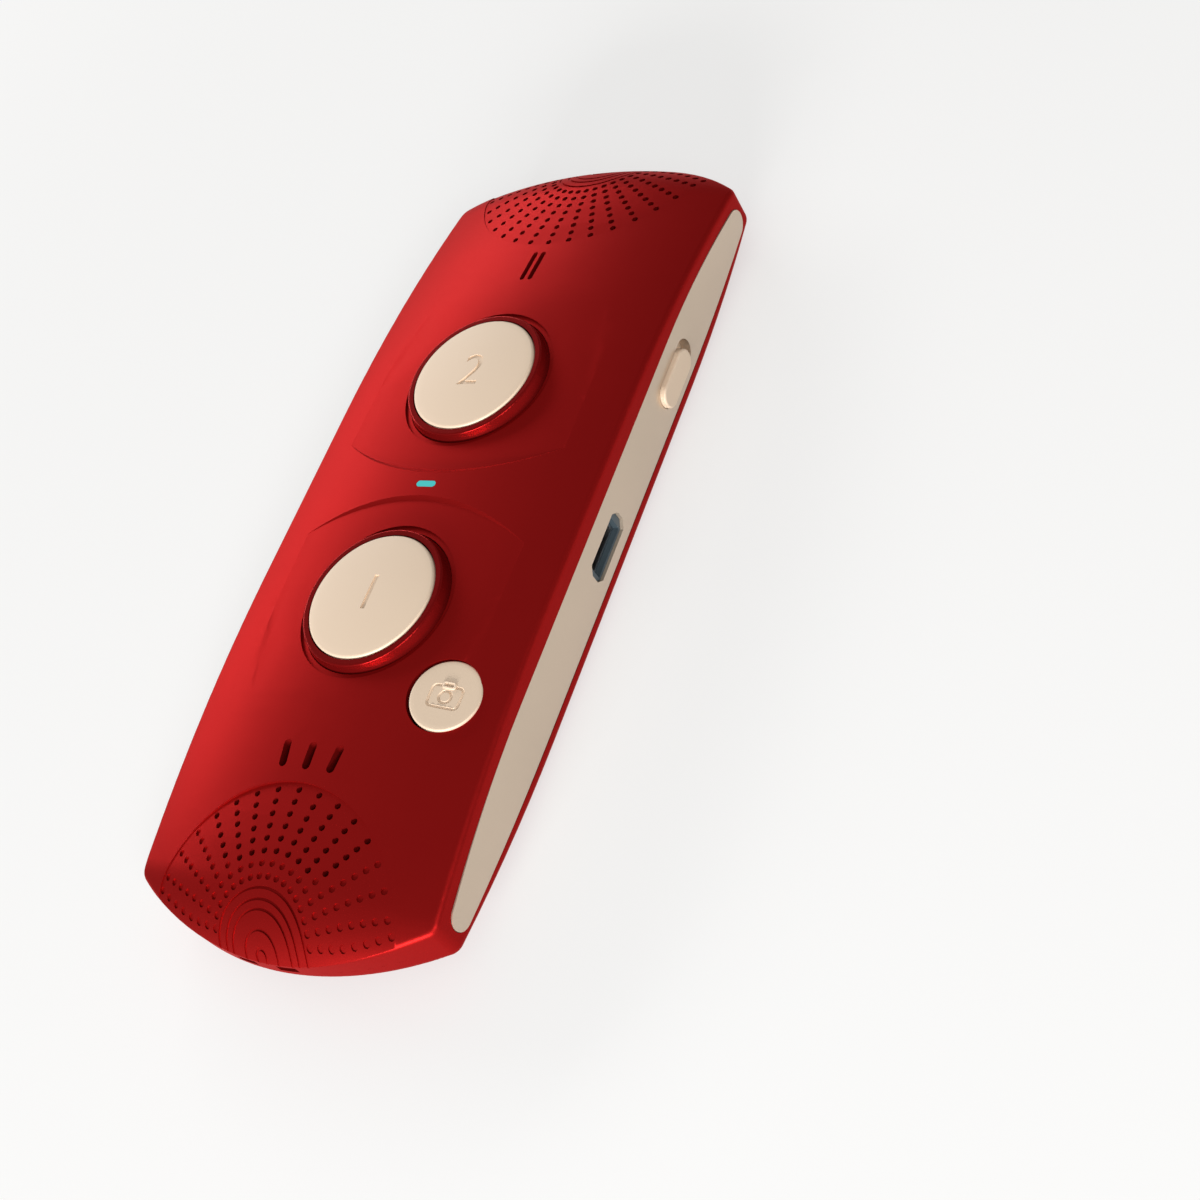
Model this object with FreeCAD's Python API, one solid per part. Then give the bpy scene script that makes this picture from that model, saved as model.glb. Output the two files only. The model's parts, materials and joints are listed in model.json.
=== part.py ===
import FreeCAD, Part
import math
import os
from FreeCAD import Vector

# Handheld translator, in millimetres. It lies on its back: +Z comes out of its
# face, +Y runs to its top end and +X to the right of someone who reads it.
# The origin is on the surface it lies on, under the middle of the case.

# Case outline. A place named "from end" is measured along Y from the tip of an
# end, and one named "from side" along X from a side, so it follows the case.
body_width = 49.8
body_length = 133.5
half_width = body_width / 2
half_length = body_length / 2
end_radius = 44.8
corner_radius = 2.0
face_height = 16.4
face_cross_radius = 91.0
face_flat_half = 14.4
face_long_radius = 267.0
nose_from_end = 9.15
nose_radius = 14.4
nose_sweep_deg = 80.0
back_flat_from_end = 37.75
back_long_radius = 192.0
back_sweep_deg = 14.0
face_edge_radius = 1.0
back_edge_radius = 1.5

# Case walls and the line where the two shells part
side_wall = 2.8
end_wall = 2.0
face_wall = 1.6
back_wall = 1.6
parting_height = 5.6
lip_thickness = 0.7
lip_height = 1.0
lip_clearance = 0.1

# Dished thumb zones round the talk buttons, which leave a waist between them
zone_floor_height = 15.97
zone_cross_radius = 115.5
zone_depth_margin = 1.5
crease_apex = 2.6
crease_plan_radius = 31.2
crease_run_per_rise = 1.5
zone_end_y = 29.5
zone_side_x = 19.2
zone_ease_run = 5.0
zone_ease_steps = 4

# Side trims
trim_top = 10.2
trim_bottom = 2.15
trim_flat_from_end = 37.75
trim_nose_from_end = 11.35
trim_nose_centre_z = 5.65
trim_nose_radius = 2.1
trim_thickness = 1.3
trim_crown = 0.2
trim_clearance = 0.08
trim_edge_drop = 0.05
peg_radius = 0.8
peg_length = 0.9
peg_height = 8.3
peg_from_end = 26.75

# Talk buttons and their collars
talk_spacing = 37.4
talk_radius = 9.6
talk_rim_height = 17.2
talk_dome = 0.4
talk_edge_radius = 0.35
talk_gap = 0.2
talk_skin = 1.3
talk_flange_width = 1.1
talk_flange_thickness = 0.8
talk_travel = 0.5
talk_post_radius = 2.6
collar_height = 16.95
collar_band = 0.95
collar_flare = 0.4
collar_seat_height = 14.8
collar_clearance = 0.05
moat_width = 0.75
moat_depth = 0.35
retainer_height = 13.3
retainer_width = 2.7
rest_gap = 0.1
collar_edge_radius = 0.3
collar_foot = 0.4

# Camera button
camera_button_from_side = 8.8
camera_button_y = -30.8
camera_button_tilt_deg = 10.0
camera_button_radius = 4.97
camera_button_gap = 0.15
camera_button_cap = 3.0
camera_button_edge = 0.25
camera_flange_width = 0.8
camera_flange_thickness = 0.7
camera_retainer_width = 1.6
camera_post_radius = 1.3
camera_travel = 0.3
camera_small_gap = 0.1

# Push switches on the board
switch_size = 6.0
switch_height = 3.0
plunger_radius = 1.7
plunger_rise = 1.0
small_switch_size = 4.5
small_switch_height = 1.9
small_plunger_radius = 1.1
small_plunger_rise = 0.7
plunger_clearance = 0.05
plunger_depth = 1.2

# Status light
light_length = 3.2
light_width = 0.96
light_clearance = 0.04
light_flange = 0.6
light_flange_thickness = 0.5
light_stem = 1.0
led_length = 1.6
led_width = 0.8
led_height = 0.6
led_gap = 0.3

# Fans of sound holes at both ends. The lower fan is open on its middle rays
# and outer rows, and goes on in shallow dimples.
fan_centre_from_end = 1.25
fan_outer_radius = 19.44
fan_row_pitch = 1.633
fan_rows = 8
fan_ray_pitch_deg = 10.22
fan_side_rays = 8
fan_edge_inset = 1.3
fan_hole_diameter = 0.95
fan_hole_sides = 8
fan_hole_depth = 1.1
dimple_depth = 0.22
lower_open_side_rays = 4
lower_open_rows = 6
fan_rim_radius = 20.35
fan_rim_step = 0.12
fan_floor_height = 14.1
fan_floor_from_end = 20.65
fan_floor_slope = 0.08
fan_ease_height = 13.55
fan_ease_from_end = 14.65
fan_ease_slope = 0.11
cloth_thickness = 0.25
cloth_clearance = 0.05
cloth_inset = 0.2

# Arched grooves, one inside another, where each fan's rays meet
arch_centre_from_end = 0.45
arch_radii = (0.8, 2.7, 4.9, 6.05, 7.4)
arch_groove_width = 0.38
arch_groove_depth = 0.25

# Microphone slots
lower_slot_from_end = 23.25
lower_slot_length = 3.8
lower_slot_width = 1.25
lower_slot_pitch = 4.2
lower_slot_fan_deg = 8.0
upper_slot_from_end = 23.25
upper_slot_length = 5.9
upper_slot_width = 0.8
upper_slot_pitch = 1.4
microphone_from_end = 26.35
microphone_size = 3.6
microphone_height = 1.1
boot_length = 15.0
boot_width = 7.0
boot_wall = 1.0
boot_clearance = 0.1

# Circuit board
board_clearance = 1.3
board_from_end = 23.15
board_thickness = 1.0
board_corner_radius = 2.0
board_screw_from_side = 7.5
board_screw_from_end = 26.95
shield_size_x = 14.0
shield_size_y = 18.0
shield_height = 2.2
shield_x = -12.5
shield_skin = 0.3
chip_height = 1.1
chip_side = 4.6
chip_row_y = 4.2
chip_columns = (-12.5, 9.0, 14.6)
antenna_length = 6.6
antenna_width = 3.0
antenna_height = 1.0
antenna_x = -11.2
antenna_from_end = 25.35

# Charging port
port_y = -2.2
port_z = 5.8
port_length = 10.2
port_height = 3.6
port_chamfer = 1.0
port_frame_clearance = 0.05
port_frame_recess = 0.35
port_frame_depth = 2.0
socket_length = 7.8
socket_height = 2.6
socket_depth = 5.8
socket_recess = 1.3
socket_skin = 0.3
socket_back = 0.8
socket_corner = 0.6
socket_clearance = 0.1
tongue_length = 5.0
tongue_thickness = 0.7

# Slide switch
slot_centre_y = 27.05
slot_centre_z = 6.05
slot_length = 11.5
slot_width = 3.9
knob_length = 9.6
knob_clearance = 0.1
knob_stand = 0.8
knob_edge = 0.3
knob_travel = 1.7
knob_base_overlap = 0.9
knob_base_thickness = 0.8
knob_base_gap = 0.1
fork_width = 3.6
fork_height = 1.6
fork_reach = 1.8
lever_width = 1.3
lever_height = 1.2
lever_clearance = 0.1
slide_body_length = 8.0
slide_body_depth = 3.6
slide_body_height = 2.0
slide_body_gap = 1.5
slide_body_wall = 0.4

# Battery
battery_from_end = 35.75
battery_from_left = 5.4
battery_from_right = 10.9
battery_thickness = 4.4
battery_corner = 1.6
pad_thickness = 0.3
pad_inset = 3.0
cradle_clearance = 0.4
cradle_rib = 1.0
cradle_height = 2.6
cradle_gap = 16.0
plug_x = -8.0
plug_from_end = 31.25
plug_length = 5.0
plug_width = 3.2
plug_height = 1.3
lead_radius = 0.4
lead_pitch = 1.6

# Speakers
speaker_from_end = 14.45
speaker_length = 25.0
speaker_width = 13.0
speaker_thickness = 3.4
speaker_corner = 3.0
speaker_cone_inset = 1.8
speaker_cone_depth = 0.8
gasket_thickness = 0.5
gasket_width = 1.1
speaker_face_gap = 0.1

# Screws
case_screw_from_side = 6.5
case_screw_from_end = 20.15
case_boss_radius = 2.5
case_boss_height = 6.0
boss_joint_gap = 0.05
screw_head_radius = 1.7
screw_head_height = 1.1
screw_shank_radius = 0.9
screw_length = 9.0
screw_clearance = 0.1
pilot_clearance = 0.05
screw_floor = 1.3
board_boss_radius = 2.1
board_screw_length = 4.2
board_head_radius = 1.5
board_head_height = 0.8
screw_slot_width = 0.4
screw_slot_depth = 0.4

# Rear camera
lens_from_end = 25.75
camera_module_size = 8.0
camera_module_height = 3.6
barrel_radius = 2.6
window_radius = 4.0
window_thickness = 0.8
window_clearance = 0.06
window_ledge = 0.8

# Lanyard holes in the lower end, moulded in the front shell's lower edge
lanyard_width = 3.1
lanyard_height = 1.2
lanyard_bridge = 3.6
lanyard_depth = 3.4
lanyard_bar = 1.5
lanyard_block_wall = 1.0

# Room that cutters reach past what they cut
plan_margin = 1.0
air_height = 14.0
air_side = 4.0

# Values worked out from the ones above
nose_start = half_length - nose_from_end
back_flat_half = half_length - back_flat_from_end
trim_flat_half = half_length - trim_flat_from_end
trim_nose_centre_y = half_length - trim_nose_from_end
peg_y = half_length - peg_from_end
camera_button_x = half_width - camera_button_from_side
fan_centre_y = half_length - fan_centre_from_end
fan_floor_y = half_length - fan_floor_from_end
fan_ease_y = half_length - fan_ease_from_end
arch_centre_y = half_length - arch_centre_from_end
microphone_y = half_length - microphone_from_end
board_screw_x = half_width - board_screw_from_side
board_screw_y = half_length - board_screw_from_end
board_half_length = half_length - board_from_end
antenna_y = half_length - antenna_from_end
battery_half_length = half_length - battery_from_end
battery_left = battery_from_left - half_width
battery_right = half_width - battery_from_right
plug_y = half_length - plug_from_end
speaker_y = half_length - speaker_from_end
case_screw_x = half_width - case_screw_from_side
case_screw_y = half_length - case_screw_from_end
lens_y = half_length - lens_from_end
talk_y = talk_spacing / 2
board_bottom = port_z + socket_height / 2
board_top = board_bottom + board_thickness
inner_half_width = half_width - side_wall
board_half_width = inner_half_width - board_clearance
pocket_face = half_width - trim_thickness
lanyard_top = parting_height + lanyard_height


def box(x0, x1, y0, y1, z0, z1):
    return Part.makeBox(x1 - x0, y1 - y0, z1 - z0, Vector(x0, y0, z0))


def post(x, y, z0, z1, radius):
    return Part.makeCylinder(radius, z1 - z0, Vector(x, y, z0))


def ring(x, y, z0, z1, inner, outer):
    return post(x, y, z0, z1, outer).cut(post(x, y, z0, z1, inner))


def prism_face(points):
    corners = [Vector(*p) for p in points]
    return Part.Face(Part.makePolygon(corners + corners[:1]))


def prism(points, direction):
    return prism_face(points).extrude(direction)


def pill(length, width, thickness):
    """A flat pill along X, centred on the origin, from z = 0 up."""
    half = length / 2 - width / 2
    r = width / 2
    edges = [
        Part.makeLine(Vector(-half, -r, 0), Vector(half, -r, 0)),
        Part.Arc(Vector(half, -r, 0), Vector(half + r, 0, 0), Vector(half, r, 0)).toShape(),
        Part.makeLine(Vector(half, r, 0), Vector(-half, r, 0)),
        Part.Arc(Vector(-half, r, 0), Vector(-half - r, 0, 0), Vector(-half, -r, 0)).toShape(),
    ]
    return Part.Face(Part.Wire(edges)).extrude(Vector(0, 0, thickness))


def placed(shape, x, y, z, turn_axis=Vector(0, 0, 1), turn_deg=0.0):
    copy = shape.copy()
    copy.Placement = FreeCAD.Placement(Vector(x, y, z), FreeCAD.Rotation(turn_axis, turn_deg))
    return copy


def side_pill(y, z, length, width, x0, x1):
    """A pill that lies along Y and is extruded along X from x0 to x1."""
    upright = FreeCAD.Rotation(Vector(0, 1, 0), Vector(0, 0, 1), Vector(1, 0, 0), "ZXY")
    shape = pill(length, width, x1 - x0)
    shape.Placement = FreeCAD.Placement(Vector(x0, y, z), upright)
    return shape


def rounded_block(x0, x1, y0, y1, z0, z1, radius):
    block = box(x0, x1, y0, y1, z0, z1)
    upright = [e for e in block.Edges if abs(e.tangentAt(e.FirstParameter).z) > 0.99]
    return block.makeFillet(radius, upright)


def fuse_all(shapes):
    whole = shapes[0]
    for other in shapes[1:]:
        whole = whole.fuse(other)
    return whole.removeSplitter()


def save(name, shape):
    shape.exportStep("parts/" + name + ".step")


def plan_prism(side, end, corner):
    """The case seen from the front, drawn in by a side and an end wall."""
    w = half_width - side
    tip = half_length - end
    centre = half_length - end_radius
    r = end_radius - end
    y = centre + math.sqrt(r * r - w * w)
    edges = [
        Part.makeLine(Vector(w, -y, 0), Vector(w, y, 0)),
        Part.Arc(Vector(w, y, 0), Vector(0, tip, 0), Vector(-w, y, 0)).toShape(),
        Part.makeLine(Vector(-w, y, 0), Vector(-w, -y, 0)),
        Part.Arc(Vector(-w, -y, 0), Vector(0, -tip, 0), Vector(w, -y, 0)).toShape(),
    ]
    solid = Part.Face(Part.Wire(edges)).extrude(Vector(0, 0, face_height + 2 * plan_margin))
    solid.translate(Vector(0, 0, -plan_margin))
    if corner > 0:
        upright = [e for e in solid.Edges if abs(e.tangentAt(e.FirstParameter).z) > 0.99]
        solid = solid.makeFillet(corner, upright)
    return solid


def half_path(flat, arcs, height, sign):
    """Points and arcs of a long profile from the middle to the +Y end.
    Each arc is (radius, end angle); sign is -1 where the ends drop."""
    y = flat
    z = height
    angle = 0.0
    out = []
    for radius, end_deg in arcs:
        end = math.radians(end_deg)
        middle = (angle + end) / 2
        cy = y - radius * math.sin(angle)
        cz = z + sign * radius * math.cos(angle)
        pts = []
        for a in (angle, middle, end):
            pts.append(Vector(0, cy + radius * math.sin(a), cz - sign * radius * math.cos(a)))
        out.append(pts)
        y = pts[2].y
        z = pts[2].z
        angle = end
    return out, angle


def sweep_long(face, flat, arcs, height, sign):
    """Sweep a face, drawn in XZ about its own origin, along the whole profile."""
    right, angle = half_path(flat, arcs, height, sign)
    left = [[Vector(p.x, -p.y, p.z) for p in reversed(a)] for a in reversed(right)]
    edges = [Part.Arc(*a).toShape() for a in left]
    edges.append(Part.makeLine(Vector(0, -flat, height), Vector(0, flat, height)))
    edges += [Part.Arc(*a).toShape() for a in right]
    start = left[0][0]
    turn = -sign * math.degrees(angle)
    profile = placed(face, start.x, start.y, start.z, Vector(1, 0, 0), turn)
    return Part.Wire(edges).makePipe(profile)


def face_air(drop):
    """Everything above the face of the case, lowered by a wall."""
    radius = face_cross_radius - drop
    wide = half_width + air_side
    sag = radius - math.sqrt(radius * radius - wide * wide)
    high = air_height
    crown = Part.Arc(Vector(-wide, 0, -sag), Vector(0, 0, 0), Vector(wide, 0, -sag)).toShape()
    edges = [
        crown,
        Part.makeLine(Vector(wide, 0, -sag), Vector(wide, 0, high)),
        Part.makeLine(Vector(wide, 0, high), Vector(-wide, 0, high)),
        Part.makeLine(Vector(-wide, 0, high), Vector(-wide, 0, -sag)),
    ]
    first = math.degrees(math.asin((nose_start - face_flat_half) / face_long_radius))
    arcs = [(face_long_radius - drop, first), (nose_radius - drop, nose_sweep_deg)]
    profile = Part.Face(Part.Wire(edges))
    return sweep_long(profile, face_flat_half, arcs, face_height - drop, -1)


def back_air(rise):
    """Everything below the back of the case, lifted by a wall."""
    wide = half_width + air_side
    profile = prism_face([(-wide, 0, 0), (wide, 0, 0), (wide, 0, -air_height), (-wide, 0, -air_height)])
    arcs = [(back_long_radius - rise, back_sweep_deg)]
    return sweep_long(profile, back_flat_half, arcs, rise, 1)


def case_space(side, end, face, back, corner=0.0):
    """The case drawn in by its walls: all zero gives the sharp outside."""
    return plan_prism(side, end, corner).cut(face_air(face)).cut(back_air(back))


def rim_edges(solid, upper):
    """Edges where the upright walls meet the face, or the back."""
    found = []
    for wall in solid.Faces:
        u0, u1, v0, v1 = wall.ParameterRange
        if abs(wall.normalAt((u0 + u1) / 2, (v0 + v1) / 2).z) > 0.001:
            continue
        for edge in wall.Edges:
            if abs(edge.tangentAt(edge.FirstParameter).z) > 0.99:
                continue
            above = edge.CenterOfMass.z > wall.CenterOfMass.z
            if above == upper:
                found.append(edge)
    return found


def face_at(x, y, wall=0.0):
    """Height of the case's face, or of its inside a wall further in."""
    long_radius = face_long_radius - wall
    angle = math.asin((min(abs(y), nose_start) - face_flat_half) / face_long_radius)
    angle = max(angle, 0)
    height = face_height - face_long_radius * (1 - math.cos(angle))
    if abs(y) > nose_start:
        centre_y = nose_start - nose_radius * math.sin(angle)
        centre_z = height - nose_radius * math.cos(angle)
        run = abs(y) - centre_y
        along = centre_z + math.sqrt((nose_radius - wall) ** 2 - run ** 2)
    else:
        run = max(abs(y) - face_flat_half, 0)
        along = face_height - face_long_radius + math.sqrt(long_radius ** 2 - run ** 2)
    cross_radius = face_cross_radius - wall
    return along - cross_radius + math.sqrt(cross_radius ** 2 - x ** 2)


def back_rise(y):
    """Height of the case's back, which lifts towards the ends."""
    run = max(abs(y) - back_flat_half, 0)
    return back_long_radius - math.sqrt(back_long_radius ** 2 - run ** 2)


def case_outside():
    solid = case_space(0, 0, 0, 0, corner_radius)
    solid = solid.makeFillet(face_edge_radius, rim_edges(solid, True))
    return solid.makeFillet(back_edge_radius, rim_edges(solid, False))


def slab(z0, z1):
    """A slab wider and longer than the case, between two heights."""
    return box(-body_width, body_width, -body_length, body_length, z0, z1)


def long_cylinder(radius, y, z, slope):
    """A cylinder along the case whose crown passes through (y, z) and drops
    towards +Y by the slope."""
    along = Vector(0, 1, -slope).normalize()
    up = Vector(0, slope, 1).normalize()
    start = Vector(0, y, z) - up * radius - along * body_length
    return Part.makeCylinder(radius, 2 * body_length, start, along)


def mirrored_y(shape):
    return shape.mirror(Vector(0, 0, 0), Vector(0, 1, 0))


def thumb_zone():
    """Air of the dished zone round the upper talk button, up to the crease
    that rises towards the waist."""
    bend = 1 / (2 * crease_plan_radius) - crease_run_per_rise / (2 * face_cross_radius)
    radius = 1 / (2 * bend)
    low = zone_floor_height - zone_depth_margin
    high = face_height + zone_depth_margin
    r0 = radius - zone_depth_margin * crease_run_per_rise
    r1 = radius + (high - zone_floor_height) * crease_run_per_rise
    cone = Part.makeCone(r0, r1, high - low, Vector(0, crease_apex + radius, low))
    reach = box(-body_width, body_width, 0, nose_start, low, high)
    return cone.common(reach).cut(zone_floor())


def zone_floor():
    """What lies under a thumb zone: a long cylinder, and tilted ones that ease
    it into the face at the zone's far end and sides, where both meet at a ridge."""
    floor = long_cylinder(zone_cross_radius, 0, zone_floor_height, 0)
    end_slope = (zone_end_y - face_flat_half) / face_long_radius
    side_drop = zone_side_x ** 2 / (2 * zone_cross_radius)
    for step in range(1, zone_ease_steps):
        share = step / zone_ease_steps
        slope = end_slope * share
        height = zone_floor_height - end_slope * zone_ease_run * share * (1 - share)
        drop = side_drop + slope * (zone_end_y - talk_y)
        radius = zone_side_x ** 2 / (2 * drop)
        floor = floor.common(long_cylinder(radius, zone_end_y, height, slope))
    return floor


def fan_floor():
    """Air of the shallow scallop that holds the upper fan. It is deepest at the
    slots, and a fine step along the rest of its rim."""
    disc = post(0, fan_centre_y, face_height - air_height, face_height + plan_margin, fan_rim_radius)
    floor = long_cylinder(face_cross_radius, fan_floor_y, fan_floor_height, fan_floor_slope)
    ease = long_cylinder(face_cross_radius, fan_ease_y, fan_ease_height, fan_ease_slope)
    return disc.cut(floor.common(ease).common(case_space(0, 0, fan_rim_step, 0)))


def fan_places():
    """Every mark of the upper fan as (ray, row, x, y), ray 0 in the middle. No
    mark comes nearer to the end's edge than the inset."""
    places = []
    for ray in range(-fan_side_rays, fan_side_rays + 1):
        angle = math.radians(ray * fan_ray_pitch_deg)
        for row in range(fan_rows):
            reach = fan_outer_radius - row * fan_row_pitch
            x = reach * math.sin(angle)
            edge = half_length - end_radius + math.sqrt((end_radius - fan_edge_inset) ** 2 - x ** 2)
            places.append((ray, row, x, min(fan_centre_y - reach * math.cos(angle), edge)))
    return places


def fan_mark(x, y, bottom):
    """An upright prism over one mark."""
    radius = fan_hole_diameter / 2
    corners = []
    for side in range(fan_hole_sides):
        turn = 2 * math.pi * (side + 0.5) / fan_hole_sides
        corners.append((x + radius * math.cos(turn), y + radius * math.sin(turn), bottom))
    return prism(corners, Vector(0, 0, face_height + plan_margin - bottom))


def over_speaker(x, y):
    """Whether a hole there comes out inside the speaker's seat."""
    inset = gasket_width + fan_hole_diameter / 2
    return abs(x) < speaker_length / 2 - inset and abs(y - speaker_y) < speaker_width / 2 - inset


def fan_air(is_open):
    """Air of one fan at the upper end. Open marks over the speaker go through
    the face, other open ones are deep and blind, and the rest are dimples."""
    through = []
    deep = []
    shallow = []
    for ray, row, x, y in fan_places():
        if is_open(ray, row):
            kind = through if over_speaker(x, y) else deep
        else:
            kind = shallow
        kind.append(fan_mark(x, y, parting_height))
    airs = [Part.makeCompound(through), Part.makeCompound(deep).cut(below_face(fan_hole_depth))]
    if shallow:
        airs.append(Part.makeCompound(shallow).cut(below_face(dimple_depth)))
    return airs


def upper_mark_open(ray, row):
    return True


def lower_mark_open(ray, row):
    """The lower fan is open on its middle rays, one row less on the outermost."""
    rows = lower_open_rows - 1 if abs(ray) == lower_open_side_rays else lower_open_rows
    return abs(ray) <= lower_open_side_rays and row < rows


def arch_grooves():
    """Air of the arched grooves at the upper end."""
    half = arch_groove_width / 2
    rings = []
    for radius in arch_radii:
        rings.append(ring(0, arch_centre_y, parting_height, face_height, radius - half, radius + half))
    return Part.makeCompound(rings).cut(below_face(arch_groove_depth))


def slot_hole(x, from_end, length, width, turn_deg):
    """An upright slot that runs along Y, turned about its own middle."""
    shape = pill(length, width, face_height)
    shape.rotate(Vector(0, 0, 0), Vector(0, 0, 1), 90 + turn_deg)
    shape.translate(Vector(x, half_length - from_end - length / 2, board_top))
    return shape


def lower_slots():
    """Three slots, the outer two leaning to the fan centre."""
    slots = []
    for i in (-1, 0, 1):
        slots.append(slot_hole(i * lower_slot_pitch, lower_slot_from_end, lower_slot_length,
                               lower_slot_width, i * lower_slot_fan_deg))
    return mirrored_y(Part.makeCompound(slots))


def upper_slots():
    slots = []
    for i in (-1, 1):
        slots.append(slot_hole(i * upper_slot_pitch / 2, upper_slot_from_end, upper_slot_length,
                               upper_slot_width, 0))
    return Part.makeCompound(slots)


def lens_prism(clear, x0, x1):
    """The outline of a side trim, an eye shape of tangent arcs, along X."""
    r = trim_nose_radius + clear
    nose = Vector(0, trim_nose_centre_y, trim_nose_centre_z)

    def long_arc(edge_z, sign):
        rise = abs(edge_z - nose.z)
        run = nose.y - trim_flat_half
        big = (run * run + rise * rise - r * r) / (2 * rise - 2 * r)
        centre = Vector(0, trim_flat_half, edge_z - sign * big)
        out = (nose - centre).normalize()
        middle = (out + Vector(0, 0, sign)).normalize()
        return Vector(0, trim_flat_half, edge_z), centre + middle * big, nose + out * r

    top = trim_top + clear
    bottom = trim_bottom - clear
    a0, a1, a2 = long_arc(top, 1)
    b0, b1, b2 = long_arc(bottom, -1)
    tip = nose + Vector(0, r, 0)

    def flip(p):
        return Vector(p.x, -p.y, p.z)

    edges = [
        Part.makeLine(flip(a0), a0),
        Part.Arc(a0, a1, a2).toShape(),
        Part.Arc(a2, tip, b2).toShape(),
        Part.Arc(b2, b1, b0).toShape(),
        Part.makeLine(b0, flip(b0)),
        Part.Arc(flip(b0), flip(b1), flip(b2)).toShape(),
        Part.Arc(flip(b2), flip(tip), flip(a2)).toShape(),
        Part.Arc(flip(a2), flip(a1), flip(a0)).toShape(),
    ]
    face = Part.Face(Part.Wire(edges))
    face.translate(Vector(x0, 0, 0))
    return face.extrude(Vector(x1 - x0, 0, 0))


def port_prism(clear, x0, x1):
    """The charging port's opening: a flat hexagon with chamfered lower corners."""
    y0 = port_y - port_length / 2 - clear
    y1 = port_y + port_length / 2 + clear
    z0 = port_z - port_height / 2 - clear
    z1 = port_z + port_height / 2 + clear
    c = port_chamfer
    points = [
        (x0, y0 + c, z0), (x0, y1 - c, z0), (x0, y1, z0 + c),
        (x0, y1, z1 - c), (x0, y1 - c, z1), (x0, y0 + c, z1),
        (x0, y0, z1 - c), (x0, y0, z0 + c),
    ]
    return prism(points, Vector(x1 - x0, 0, 0))


def trim_pegs(sign, clear):
    """Pegs that locate a side trim in the front shell's wall."""
    pegs = []
    for y in (-peg_y, 0, peg_y):
        start = Vector(sign * (pocket_face - peg_length - clear), y, peg_height)
        length = peg_length + clear
        pegs.append(Part.makeCylinder(peg_radius + clear, length, start, Vector(sign, 0, 0)))
    return pegs


def trim_pocket(sign):
    """What a side trim takes out of the two shells."""
    pocket = lens_prism(trim_clearance, pocket_face, half_width + plan_margin)
    if sign < 0:
        pocket = pocket.mirror(Vector(0, 0, 0), Vector(1, 0, 0))
    return fuse_all([pocket] + trim_pegs(sign, trim_clearance))


def side_openings():
    """Ways through the right walls for the port and the slider's base."""
    port = port_prism(0, inner_half_width - plan_margin, half_width + plan_margin)
    base = side_pill(
        slot_centre_y, slot_centre_z,
        knob_base_length + knob_travel + 2 * knob_clearance, knob_base_width + 2 * knob_clearance,
        inner_half_width - plan_margin, half_width,
    )
    return [port, base]


def camera_frame(shape):
    """Place a shape drawn about the camera button's own axis."""
    return placed(shape, camera_button_x, camera_button_y, camera_button_z,
                  Vector(0, 1, 0), camera_button_tilt_deg)


def lip_ring(inner_gap, height):
    """The step between the shells: a ring along the inside of the walls."""
    outer = plan_prism(side_wall - lip_thickness - inner_gap, end_wall - lip_thickness - inner_gap, 0)
    inner = plan_prism(side_wall, end_wall, 0)
    return outer.cut(inner).common(slab(parting_height, parting_height + height))


def speaker_seat(grow, z0, z1):
    """A frame round a speaker; grow moves both walls out."""
    outer = rounded_block(
        -speaker_length / 2 - grow, speaker_length / 2 + grow,
        speaker_y - speaker_width / 2 - grow, speaker_y + speaker_width / 2 + grow,
        z0, z1, speaker_corner,
    )
    inset = gasket_width - grow
    inner = rounded_block(
        -speaker_length / 2 + inset, speaker_length / 2 - inset,
        speaker_y - speaker_width / 2 + inset, speaker_y + speaker_width / 2 - inset,
        z0, z1, speaker_corner - gasket_width,
    )
    return outer.cut(inner)


def corners_of(x, y):
    return [(-x, -y), (x, -y), (-x, y), (x, y)]


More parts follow.
